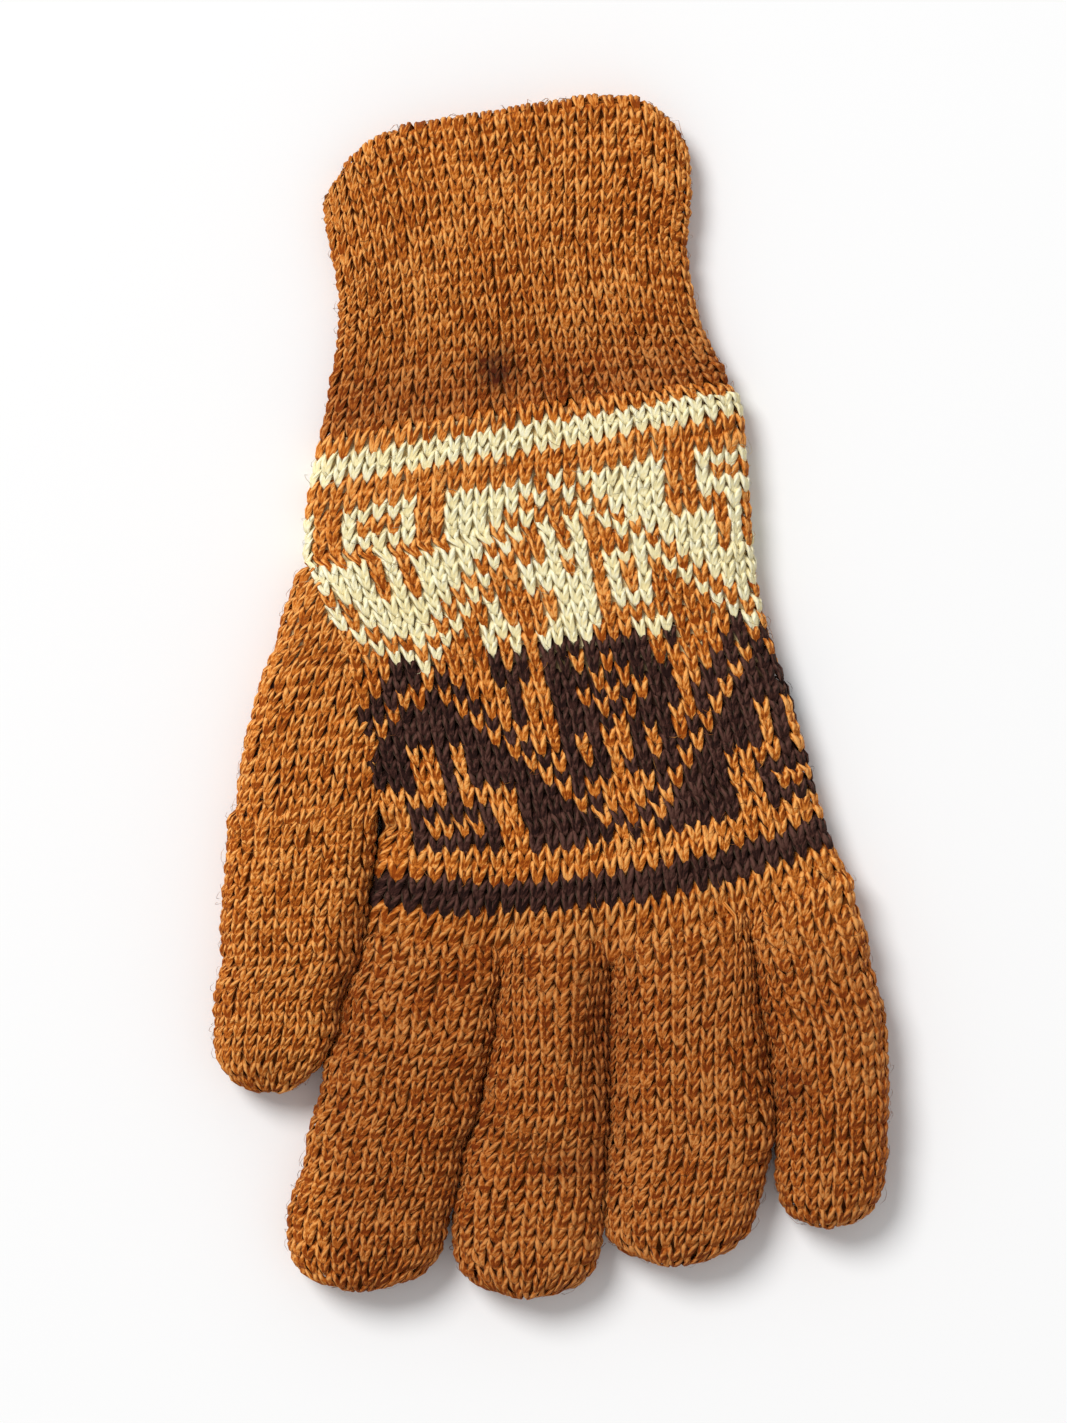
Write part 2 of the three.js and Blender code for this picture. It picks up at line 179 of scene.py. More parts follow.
palmRows = tableRows(handTable, glove["palmWidth"], glove["handLength"], glove["handHeight"], -1)
wristRow = dict(palmRows[0])
wristRow["left"] = (wristRow["left"][0], wristRow["left"][1] + glove["gap"])
wristRow["right"] = (wristRow["right"][0], wristRow["right"][1] + glove["gap"])
cuffRows = tableRows(cuffTable, glove["cuffWidth"], glove["cuffLength"], glove["cuffHeight"], 1) + [wristRow]
knuckles = rowBetween(palmRows, 1)
crotch = np.array(palmRows[crotchRow]["left"])

# Creases between the fingers, from -1 at the left end of the knuckle line to 1 at its right end
baseWidths = [finger["width"] * fingerTable[0][number + 1] for number, finger in enumerate(fingers)]
creases = [2 * sum(baseWidths[:number]) / sum(baseWidths) - 1 for number in range(5)]
knuckleScale = (knuckles["right"][0] - knuckles["left"][0]) / sum(baseWidths)
longestFinger = max(finger["length"] for finger in fingers)
dents["hand"] += [(knuckleDent[0], across, *knuckleDent[1:]) for across in creases[1:-1]]


def knucklePoint(across):
    point = knuckles["left"] + (knuckles["right"] - knuckles["left"]) * (across + 1) / 2
    return np.array((point[0], point[1] + knuckles["bow"] * (1 - across * across)))


def fingerSide(number, side, y):
    # x of one side of a finger at a height y, worked out from the middle crease
    crease = number + side
    along = (knucklePoint(creases[crease])[1] - y) / longestFinger
    settle = min(max(along / fingerTable[1][0], 0), 1)
    scale = knuckleScale + (1 - knuckleScale) * settle
    widths = [finger["width"] * easedValue(fingerTable, along, column + 1) * scale
              for column, finger in enumerate(fingers)]
    stand = easedValue(fingerTable, along, 5) * longestFinger
    anchor = knucklePoint(creases[2])[0]
    indexRight = anchor - widths[1] - stand
    littleLeft = anchor + widths[2] + stand
    lefts = [indexRight - widths[0], anchor - widths[1], anchor, littleLeft]
    rights = [indexRight, anchor, anchor + widths[2], littleLeft + widths[3]]
    return (rights[number] - glove["gap"] / 2) if side else (lefts[number] + glove["gap"] / 2)


def fingerRow(number, along):
    leftBase = knucklePoint(creases[number])
    rightBase = knucklePoint(creases[number + 1])
    middle = (leftBase[1] + rightBase[1]) / 2
    level = middle - glove["gap"] - along * fingers[number]["length"]
    leftY = level + (leftBase[1] - middle) * (1 - along)
    rightY = level + (rightBase[1] - middle) * (1 - along)
    span = (creases[number + 1] - creases[number]) / 2
    return {
        "left": np.array((fingerSide(number, 0, leftY), leftY)),
        "right": np.array((fingerSide(number, 1, rightY), rightY)),
        "bow": knuckles["bow"] * span * span * (1 + along), "arch": 2,
        "height": easedValue(sectionTable, along, 1) * glove["fingerHeight"],
        "power": easedValue(sectionTable, along, 2), "along": along,
    }


def leanOf(name, y):
    # how far the knit of a finger's end lies to the side of its solid, at a height y
    for number, finger in enumerate(fingers):
        if finger["name"] == name:
            start = knucklePoint((creases[number] + creases[number + 1]) / 2)[1]
            share = np.clip((start - y) / finger["length"] * 2 - 1, 0, 1)
            return finger["lean"] * share * share * (3 - 2 * share)
    return 0 * y


sideSteps = [rowBetween(palmRows, step / 60)["left"] for step in range(61)]


def sideOfHand(y):
    # x of the left side of the hand, and of the index finger below it
    if y < knuckles["left"][1]:
        return fingerSide(0, 0, y)
    heights = [-point[1] for point in sideSteps]
    return float(np.interp(-y, heights, [point[0] for point in sideSteps]))


def thumbRow(along):
    y = crotch[1] - glove["gap"] - along * glove["thumbLength"]
    right = sideOfHand(y) - glove["gap"]
    width = easedValue(thumbTable, along, 1) * glove["thumbWidth"]
    tilt = glove["thumbTilt"] * glove["thumbWidth"] * (1 - along)
    return {
        "left": np.array((right - width, y - tilt)), "right": np.array((right, y)),
        "bow": 0, "arch": 2, "height": easedValue(thumbTable, along, 2) * glove["thumbHeight"],
        "power": glove["tubePower"], "along": along,
    }


def capRow(rowAt, length, depth, inset, angle, blunt=2):
    # a row of a rounded end, angle from 0 where it starts to a right angle at the tip
    row = rowAt((length - depth + (depth - inset) * math.sin(angle)) / length)
    narrow = max(0, 1 - math.sin(angle) ** blunt) ** (1 / blunt)
    centre = (row["left"] + row["right"]) / 2
    width = row["right"][0] - row["left"][0]
    keep = ((width - 2 * inset) * narrow + 2 * inset) / width
    row["left"] = centre + (row["left"] - centre) * keep
    row["right"] = centre + (row["right"] - centre) * keep
    row["shrink"] = (1 - max(narrow, 0) ** glove["capThinning"]) * glove["capShrink"]
    return row


def rowSection(row, inset, dentRows):
    # the closed section of a tube: over the top from left to right, then back underneath
    half = 160
    across = -np.cos(np.linspace(0, math.pi, half + 1))
    across = np.concatenate((across, across[-2::-1]))
    upper = np.arange(len(across)) <= half
    shrink = row.get("shrink", 0)
    height = row["height"] * (1 - 2 * shrink)
    mid = height * glove["midShare"]
    floor = min(inset, mid)
    rounding = np.maximum(0, 1 - np.abs(across) ** row["power"]) ** (1 / row["power"])
    left = row["left"][0] + inset
    right = row["right"][0] - inset
    x = left + (right - left) * (across + 1) / 2
    y = row["left"][1] + (row["right"][1] - row["left"][1]) * (across + 1) / 2
    bowed = across
    if "bowFrom" in row:
        bowed = np.clip((x - row["bowFrom"]) / (right - row["bowFrom"]), 0, 1) * 2 - 1
    lip = np.where(upper, 0, row.get("backLip", 0))
    y = y + (row["bow"] + lip) * (1 - np.abs(bowed) ** row["arch"])
    dip = np.zeros(len(across))
    for along, place, length, width, depth in dentRows:
        dip += depth * np.exp(-((row["along"] - along) / length) ** 2 - ((bowed - place) / width) ** 2)
    top = mid + np.maximum(0, (height - inset) * (1 - dip) - mid) * rounding
    bottom = np.maximum(floor, mid - (mid - floor + height * glove["flattenShare"]) * rounding)
    if "gusset" in row:
        edgeLeft, edgeRight, tall = row["gusset"]
        place = np.clip((x - edgeLeft - inset) / (edgeRight - edgeLeft - 2 * inset) * 2 - 1, -1, 1)
        swell = (1 - np.abs(place) ** glove["tubePower"]) ** (1 / glove["tubePower"])
        deep = tall * glove["midShare"]
        top = np.maximum(top, deep + (tall - deep - inset) * swell)
        under = deep - (deep - floor + tall * glove["flattenShare"]) * swell
        bottom = np.minimum(bottom, np.maximum(floor, under))
    z = row["height"] * shrink + np.where(upper, top, bottom)
    return np.stack((x, y, z), axis=1), half


def sectionLengths(section):
    steps = np.linalg.norm(np.diff(section, axis=0), axis=1)
    return np.concatenate(((0,), np.cumsum(steps)))


def spotsOn(section, lengths, spots):
    # points at distances along a closed section
    spots = np.mod(spots, lengths[-1])
    return np.stack([np.interp(spots, lengths, section[:, axis]) for axis in range(3)], axis=1)


# Knitting: stitches around each tube, and heights of its rows in millimetres
knit = {
    "columns": 62, "apexColumn": 17, "cuffRow": 2.78, "fingerColumn": 3.05, "fingerRow": 2.72,
    "thumbColumn": 2.9, "thumbRow": 2.55, "depth": 1.0, "lipRows": 4,
    "matchReach": 0.4, "matchEdge": 1.2, "rowTilt": 1.2, "sideRows": 8, "sideColumns": 5, "closeRows": 2, "mouth": 0.024,
}
# Rows of the hand from the wrist: how many, and the height of each as a share of a plain row
rowHeights = [(1, 1.13), (2, 0.82), (2, 1.03), (12, 0.935), (13, 1.035), (2, 1.035), (2, 1.07), (3, 1.11)]
# Yarn of each row: c caramel, o cream, d dark brown, p a row of the chart
rowYarns = "c" + "oo" + "cc" + "p" * 25 + "cc" + "dd" + "ccc"
# The pattern, 24 stitches wide: . caramel, o cream, # dark brown
patternChart = """
ooo..oooooo.o.oooooo..oo
..o..ooooo.o.o.ooooo..o.
ooo..oooo.o...o.oooo..oo
o....ooo.o.o.o.o.ooo....
o.ooooo.o..o.o..o.ooooo.
o.oooo.o...ooo...o.oooo.
o.ooo.o..ooo.o.oooo.ooo.
oooo.o...ooooo.o.o.o.ooo
ooo.o.o....ooo.o.o..o.oo
oo.o..o....ooo.ooo...o.o
o.o..ooo..oooo........o.
.o...o.o.oooo...ooo....o
o....#.#.########.#....#
.#...###.##.#.###.....##
#.#...#..###.#.###...##.
##.#..#..##.#.#.##..##.#
###.#.#..###.#.###.##.##
####.#...####.###..#.###
#.###.#..#.#..#.#.#.###.
#.####.#.#.#..#.##.####.
#.#####.####.####.#####.
#....###.#.....#.###....
###..####.#...#.####..##
..#..#####.#.#.#####..#.
###..######.#.######..##
""".split()
yarnNumber = {".": 0, "c": 0, "o": 1, "#": 2, "d": 2}
cellValues = ("span", "yarn", "thick", "dusk")
chartStart = -12
lateShiftRow = 8
lateShiftColumn = -13


def yarnOf(row, column):
    # the yarn of one stitch of the hand, column counted from the left side
    kind = rowYarns[row]
    if kind != "p":
        return yarnNumber[kind]
    chartRow = row - rowYarns.index("p")
    place = column - knit["apexColumn"] - chartStart
    if chartRow >= lateShiftRow and column - knit["apexColumn"] < lateShiftColumn:
        place += 1
    return yarnNumber[patternChart[chartRow][place % len(patternChart[0])]]


def meshFrom(name, vertices, faces):
    mesh = bpy.data.meshes.new(name)
    mesh.from_pydata([tuple(vertex) for vertex in vertices], [], faces)
    mesh.update()
    return mesh


def addObject(name, mesh):
    made = bpy.data.objects.new(name, mesh)
    bpy.context.collection.objects.link(made)
    return made


def makeCarrier(name, columns, stations):
    # a sheet that stitches are laid on: each vertex knows its stitch column and row
    grid = np.array([points for rowNumber, points in stations])
    rowNumbers = [rowNumber for rowNumber, points in stations]
    high, wide = grid.shape[:2]
    faces = []
    for line in range(high - 1):
        for step in range(wide - 1):
            corner = line * wide + step
            faces.append((corner, corner + wide, corner + wide + 1, corner + 1))
    mesh = meshFrom(name, (grid.reshape(-1, 3) + frameShift) * mm, faces)
    cells = np.zeros((high, wide, 3), np.float32)
    cells[:, :, 0] = columns
    cells[:, :, 1] = -np.array(rowNumbers)[:, None]
    cell = mesh.attributes.new("cell", "FLOAT_VECTOR", "POINT")
    cell.data.foreach_set("vector", cells.ravel())
    for polygon in mesh.polygons:
        polygon.use_smooth = True
    return addObject(name, mesh)


def tubeColumns(count, margin=1.5, step=0.5):
    return np.arange(-margin, count + margin + step / 2, step)


def lineLength(points):
    return np.concatenate(((0,), np.cumsum(np.linalg.norm(np.diff(points, axis=0), axis=1))))


def beyond(stations, extra, first):
    # one more station past an end, straight on
    (endRow, end), (nextRow, near) = (stations[0], stations[2]) if first else (stations[-1], stations[-3])
    aim = endRow - extra if first else endRow + extra
    return aim, end + (end - near) * (aim - endRow) / (endRow - nextRow)


def matchColumns(row, inset, dentRows, count, edges):
    # a finger's columns that go on from the hand's, each with its share of the way over the finger
    section, half = rowSection(row, inset, dentRows)
    lengths = sectionLengths(section)
    within = [number for number, x in enumerate(edges)
              if section[0, 0] + knit["matchEdge"] < x < section[half, 0] - knit["matchEdge"]]
    first = round((within[0] + within[-1] - count / 2) / 2)
    spots = np.interp([edges[number] for number in within], section[:half + 1, 0], lengths[:half + 1])
    return [(number - first, spot / lengths[half]) for number, spot in zip(within, spots)]


def plainRing(row, inset, dentRows, columns, count, matched=None):
    # stitches spread evenly, half of them over the top and half underneath. The first rows of a finger
    # are drawn to the columns of the hand instead.
    section, half = rowSection(row, inset, dentRows)
    lengths = sectionLengths(section)
    top = lengths[half]
    under = lengths[-1] - top
    wrapped = np.mod(columns, count)
    upper = np.minimum(wrapped, count - wrapped)
    spots = upper / (count / 2) * top
    keep = 1 - min(row["along"] / knit["matchReach"], 1)
    if matched and keep > 0:
        knots = [(0, 0)] + matched + [(count / 2, 1)]
        drawn = np.interp(upper, [knot[0] for knot in knots], [knot[1] for knot in knots]) * top
        keep = keep * keep * (3 - 2 * keep)
        spots = spots * (1 - keep) + drawn * keep
    spots = np.where(wrapped <= count / 2, spots, lengths[-1] - spots * under / top)
    return spotsOn(section, lengths, spots)


def layStitches(name, cells):
    # one vertex for each stitch: column, row, its width in columns, yarn, thickness and painted crease shade
    mesh = meshFrom(name, [(cell[0], -cell[1], 0) for cell in cells], [])
    for place, attribute in enumerate(cellValues, 2):
        values = mesh.attributes.new(attribute, "FLOAT", "POINT")
        values.data.foreach_set("value", [float(cell[place]) for cell in cells])
    return addObject(name, mesh)


def cuffCarrier():
    inset = knit["depth"]
    columns = tubeColumns(knit["columns"])
    rows = []
    for step in range(61):
        row = rowBetween(cuffRows, knit["mouth"] + (1 - knit["mouth"]) * step / 60)
        row["backLip"] = glove["backLip"] * (1 - row["along"]) ** glove["lipFade"]
        rows.append(row)
    rings = [plainRing(row, inset, dents["cuff"], columns, knit["columns"]) for row in rows]
    middle = len(columns) // 4
    lengths = lineLength(np.array([ring[middle] for ring in rings]))
    count = round(lengths[-1] / knit["cuffRow"])
    # the rolled lip, and a few rows that go on inside it
    lipRadius = glove["wall"] / 2
    lip = []
    for turn in np.linspace(0, math.pi, 7)[1:]:
        row = dict(rows[0])
        rise = math.sin(turn) * (lipRadius - 0.3)
        deep = inset + (1 - math.cos(turn)) * (lipRadius - 0.35)
        ring = plainRing(row, deep, dents["cuff"], columns, knit["columns"])
        ring[:, 1] += rise
        lip.append(ring)
    deep = inset + 2 * (lipRadius - 0.35)
    for reach in (2, 4, 7, 10, 13):
        ring = plainRing(rows[0], deep, dents["cuff"], columns, knit["columns"])
        ring[:, 1] -= reach
        lip.append(ring)
    lipLengths = lineLength(np.array([ring[middle] for ring in [rings[0]] + lip]))[1:]
    stations = [(-length / knit["cuffRow"], ring) for length, ring in zip(lipLengths, lip)][::-1]
    stations += [(count * length / lengths[-1], ring) for length, ring in zip(lengths, rings)]
    stations.append(beyond(stations, 1.5, False))
    cells = []
    for row in range(-knit["lipRows"], count):
        for column in range(knit["columns"]):
            cells.append((column + 0.5, row + 0.5, 1, 0, 1, 0))
    return makeCarrier("cuffCarrier", columns, stations), layStitches("cuffCells", cells), count


def gussetValue(y, column):
    up = (y - crotch[1]) / glove["gussetLength"]
    return float(np.interp(up, [row[0] for row in gussetTable], [row[column] for row in gussetTable]))


def handRowAt(place):
    # a row of the hand, widened to the left by the gusset where there is one
    row = rowBetween(palmRows, place)
    y = row["left"][1]
    out = gussetValue(y, 1) * glove["thumbWidth"] if y >= crotch[1] else 0
    slope = (row["right"] - row["left"]) / (row["right"][0] - row["left"][0])
    row["sideX"] = row["left"][0]
    row["bowFrom"] = row["left"][0]
    row["left"] = row["left"] - slope * out
    if out > 0.5:
        reach = min(glove["thumbWidth"], glove["thumbWidth"] * gussetTable[0][1] + webOverlap * glove["wall"])
        row["gusset"] = (row["left"][0], row["left"][0] + reach, gussetValue(y, 2) * glove["thumbHeight"])
    return row


def rowMeasure():
    # where each row of stitches of the hand lies, as a place in its table
    places = np.linspace(0, 1, 241)
    middles = []
    for place in places:
        row = rowBetween(palmRows, place)
        middles.append((row["left"] + row["right"]) / 2 + np.array((0, row["bow"])))
    lengths = lineLength(np.array(middles))
    edges = np.concatenate(((0,), np.cumsum([tall for count, tall in rowHeights for each in range(count)])))
    return np.interp(edges / edges[-1] * lengths[-1], lengths, places)


rowEdges = rowMeasure()
handRowCount = len(rowEdges) - 1


def handRings():
    # the hand's rings between the edges of the gusset, and how far the gusset's own fabric reaches
    inset = knit["depth"]
    columns = tubeColumns(knit["columns"])
    half = knit["columns"] / 2
    crotchLine = float(np.interp(crotchRow / (len(palmRows) - 1), rowEdges, np.arange(handRowCount + 1)))
    handStations = []
    gussetStations = []
    for line in np.arange(0, handRowCount + 0.01, 0.5):
        place = float(np.interp(line, np.arange(handRowCount + 1), rowEdges))
        row = handRowAt(place)
        section, sample = rowSection(row, inset, dents["hand"])
        lengths = sectionLengths(section)
        top = lengths[sample]
        startTop = float(np.interp(row["sideX"] + inset, section[:sample + 1, 0], lengths[:sample + 1]))
        underX = section[sample:, 0][::-1]
        underS = lengths[sample:][::-1]
        startUnder = float(np.interp(row["sideX"] + inset, underX, underS))
        if row["left"][0] > row["sideX"] - 0.01 or startTop < knit["thumbColumn"] / 2:
            startTop = 0
            startUnder = lengths[-1]
        if line > crotchLine:
            # columns go straight on below the crotch, and spread to the hand's side little by little
            fade = max(1 - (line - crotchLine) / knit["sideRows"], 0)
            startTop = (top - spanTop) * fade
            startUnder = lengths[-1] - (lengths[-1] - top - spanUnder) * fade
        else:
            spanTop = top - startTop
            spanUnder = startUnder - top
        spots = np.where(
            columns <= half,
            startTop + (top - startTop) * columns / half,
            top + (startUnder - top) * (columns - half) / half,
        )
        if line > crotchLine:
            # the outermost few take up the side at once
            spread = min((line - crotchLine) / knit["closeRows"], 1)
            near = np.maximum(0, 1 - columns / knit["sideColumns"]) ** 2
            far = np.maximum(0, 1 - (knit["columns"] - columns) / knit["sideColumns"]) ** 2
            spots = spots - startTop * spread * near + (lengths[-1] - startUnder) * spread * far
        # rows of stitches lean a little more than the fabric's edges do
        share = (section[:, 0] - section[0, 0]) / (section[sample, 0] - section[0, 0])
        section[:, 1] += (share * 2 - 1) * knit["rowTilt"] * math.sin(math.pi * line / handRowCount)
        handStations.append((line, spotsOn(section, lengths, spots)))
        if line < crotchLine:
            gussetStations.append((line, section, lengths, startTop, startUnder))
    return columns, handStations, gussetStations


def handCarrier():
    columns, stations, gussetRows = handRings()
    stations = [beyond(stations, 1.5, True)] + stations
    stations.append(beyond(stations, 1.5, False))
    back = []
    palm = []
    for row in range(handRowCount):
        for column in range(knit["columns"]):
            cell = (column + 0.5, row + 0.5, 1, yarnOf(row, column), 1, 0)
            (back if column < knit["columns"] / 2 else palm).append(cell)
    carrier = makeCarrier("handCarrier", columns, stations)
    over = (columns >= 0) & (columns <= knit["columns"] / 2) & (columns % 1 == 0)
    knit["lastColumns"] = stations[-2][1][over, 0]
    return carrier, layStitches("backCells", back), layStitches("palmCells", palm), gussetRows


def thumbCount():
    section, half = rowSection(thumbRow(0), knit["depth"], [])
    return 2 * round(sectionLengths(section)[half] / knit["thumbColumn"])


def gussetCarrier(gussetRows):
    # columns keep the thumb's spacing from the left side, and end at the hand's first column
    section, half = rowSection(thumbRow(0), knit["depth"], [])
    pitch = sectionLengths(section)[half] / (thumbCount() / 2)
    reach = thumbCount() / 2 + 2
    columns = np.arange(-reach, reach + 0.01, 0.5)
    stations = []
    cells = []
    rowCells = []
    for line, section, lengths, startTop, startUnder in gussetRows:
        stations.append((line, spotsOn(section, lengths, columns * pitch)))
        if startTop == 0 or abs(line % 1 - 0.5) > 0.01:
            continue
        rowCells = []
        for column in range(-int(reach) + 1, int(reach) - 1):
            spot = (column + 0.5) * pitch
            if -(lengths[-1] - startUnder) - pitch * 0.3 < spot < startTop + pitch * 0.3:
                rowCells.append((column + 0.5, line, 1, 0, 1, 0))
        cells += rowCells
    # one more row closes the fabric to the thumb's first
    cells += [(cell[0], cell[1] + 0.8, *cell[2:]) for cell in rowCells]
    stations = [beyond(stations, 1.5, True)] + stations + [beyond(stations, 1.5, False)]
    return makeCarrier("gussetCarrier", columns, stations), layStitches("gussetCells", cells)


def tubeCarrier(name, rowAt, length, depth, blunt, columnWidth, rowHeight, edges=None, sideShade=(0, 0)):
    # a finger: rows down the tube, then a rounded end with fewer stitches in each row. edges is x of each
    # of the hand's columns where they end; the last argument is how dark the painted shade of the creases is
    # on the finger's two sides.
    inset = knit["depth"]
    dentRows = dents[name]
    straight = (length - depth) / length
    rows = [rowAt(straight * step / 40) for step in range(41)]
    turns = np.linspace(0, math.pi / 2, 33)[1:]
    rows += [capRow(rowAt, length, depth, inset, angle, blunt) for angle in turns]
    sections = [rowSection(row, inset, dentRows) for row in rows]
    around = np.array([sectionLengths(section)[-1] for section, half in sections])
    count = 2 * round(np.mean(around[8:34]) / columnWidth / 2)
    columns = tubeColumns(count)
    matched = None if edges is None else matchColumns(rows[0], inset, dentRows, count, edges)
    rings = [plainRing(row, inset, dentRows, columns, count, matched) for row in rows]
    for ring in rings:
        ring[:, 0] += leanOf(name, ring[:, 1])
    apex = len(columns) // 4
    lengths = lineLength(np.array([ring[apex] for ring in rings]))
    rowCount = round(lengths[-1] / rowHeight)
    numbers = lengths / lengths[-1] * rowCount
    stations = list(zip(numbers, rings))
    stations = [beyond(stations, 1.5, True)] + stations
    cells = []
    widest = float(np.mean(around[20:40]))
    for row in [-0.85] + list(range(rowCount)):
        here = float(np.interp(row + 0.5, numbers, around)) / widest
        keep = count if here > 0.8 else max(4, round(count * here))
        thick = float(np.interp(rowCount - row, [1, 2, 3, 4], [0.35, 0.65, 0.9, 1]))
        fade = float(np.interp(row / rowCount, [0, 0.1, 0.55, 0.85], [0.5, 1, 1, 0.1]))
        for column in range(keep):
            over = ((column + 0.5) / keep * 2) % 1
            # painted shade of the creases: darker towards the sides that meet a neighbour, fading towards the
            # tip
            side = sideShade[0] if (column < keep / 2) == (over < 0.5) else sideShade[1]
            dusk = side * fade * max(0, 1 - min(over, 1 - over) / paintedShade["creaseReach"]) ** 0.7
            cells.append(((column + 0.5) * count / keep, row + 0.5, count / keep, 0, thick, dusk))
    return makeCarrier(name + "Carrier", columns, stations), layStitches(name + "Cells", cells), rowCount


# One knitted stitch: two legs that meet at its point, in columns, rows and yarn heights
stitchShape = {
    "sides": 5,
    # x, y, height, radius
    "leg": [(0.01, -1.02, 0.1, 0.15), (0.09, -0.6, 0.6, 0.21), (0.24, -0.06, 0.68, 0.235),
            (0.385, 0.46, 0.3, 0.205), (0.455, 0.84, -0.35, 0.15)],
}
# Loose hairs of the wool, in the same units, and how many there are for each stitch
fuzz = {
    "sides": 3, "share": 0.95, "unevenness": 0.34, "turn": 3.1,
    "hair": [(-0.62, 0.08, 0.55, 0.01), (-0.25, -0.06, 0.88, 0.018), (0.18, -0.04, 0.93, 0.018),
             (0.52, 0.15, 0.7, 0.01)],
}


def makeStrand(name, leg, sides, both):
    # a strand of yarn or a hair, closed at both ends, and its mirror image if both
    vertices = []
    faces = []
    uvs = []
    for side in (1, -1) if both else (1,):
        base = len(vertices)
        for number, (x, y, height, radius) in enumerate(leg):
            ahead = leg[min(number + 1, len(leg) - 1)]
            behind = leg[max(number - 1, 0)]
            way = Vector((side * (ahead[0] - behind[0]), ahead[1] - behind[1], 0)).normalized()
            wide = Vector((way.y, -way.x, 0))
            for step in range(sides):
                turn = 2 * math.pi * (step + 0.5) / sides
                spot = Vector((side * x, y, height)) + wide * math.cos(turn) * radius
                spot.z += math.sin(turn) * radius * 1.15
                vertices.append(spot)
        for line in range(len(leg) - 1):
            for step in range(sides):
                a = base + line * sides + step
                b = base + line * sides + (step + 1) % sides
                faces.append((a, a + sides, b + sides, b))
                u0, u1 = line / (len(leg) - 1), (line + 1) / (len(leg) - 1)
                v0, v1 = step / sides, (step + 1) / sides
                uvs.append([(u0, v0, side), (u1, v0, side), (u1, v1, side), (u0, v1, side)])
        first = list(range(base, base + sides))
        last = list(range(base + (len(leg) - 1) * sides, base + len(leg) * sides))
        for cap, u in ((first, 0), (last[::-1], 1)):
            faces.append(tuple(cap))
            uvs.append([(u, step / sides, side) for step in range(sides)])
    mesh = meshFrom(name, vertices, faces)
    yarnMap = mesh.uv_layers.new(name="along")
    bakeMap = mesh.uv_layers.new(name="OFBake")
    for polygon, corners in zip(mesh.polygons, uvs):
        polygon.use_smooth = True
        for loop, (u, v, side) in zip(polygon.loop_indices, corners):
            yarnMap.data[loop].uv = (u, v)
            half = 0.03 if side > 0 else 0.52
            bakeMap.data[loop].uv = (0.03 + 0.94 * u, half + 0.45 * v)
    bm = bmesh.new()
    bm.from_mesh(mesh)
    bmesh.ops.recalc_face_normals(bm, faces=bm.faces)
    bm.to_mesh(mesh)
    bm.free()
    return addObject(name, mesh)


class Wire:
    # a node socket that takes part in sums
    def __init__(self, maker, socket):
        self.maker = maker
        self.socket = socket

    def sum(self, operation, first, second):
        return self.maker.node("ShaderNodeMath", {"operation": operation}, {0: first, 1: second})

    def __add__(self, other):
        return self.sum("ADD", self, other)

    def __radd__(self, other):
        return self.sum("ADD", other, self)

    def __sub__(self, other):
        return self.sum("SUBTRACT", self, other)

    def __rsub__(self, other):
        return self.sum("SUBTRACT", other, self)

    def __mul__(self, other):
        return self.sum("MULTIPLY", self, other)

    def __rmul__(self, other):
        return self.sum("MULTIPLY", other, self)

    def __truediv__(self, other):
        return self.sum("DIVIDE", self, other)

    def __rtruediv__(self, other):
        return self.sum("DIVIDE", other, self)

    def __mod__(self, other):
        return self.sum("FLOORED_MODULO", self, other)

    def __pow__(self, other):
        return self.sum("POWER", self, other)

    def least(self, other):
        return self.sum("MINIMUM", self, other)

    def most(self, other):
        return self.sum("MAXIMUM", self, other)

    def floor(self):
        return self.sum("FLOOR", self, 0.0)

    def sine(self):
        return self.sum("SINE", self, 0.0)


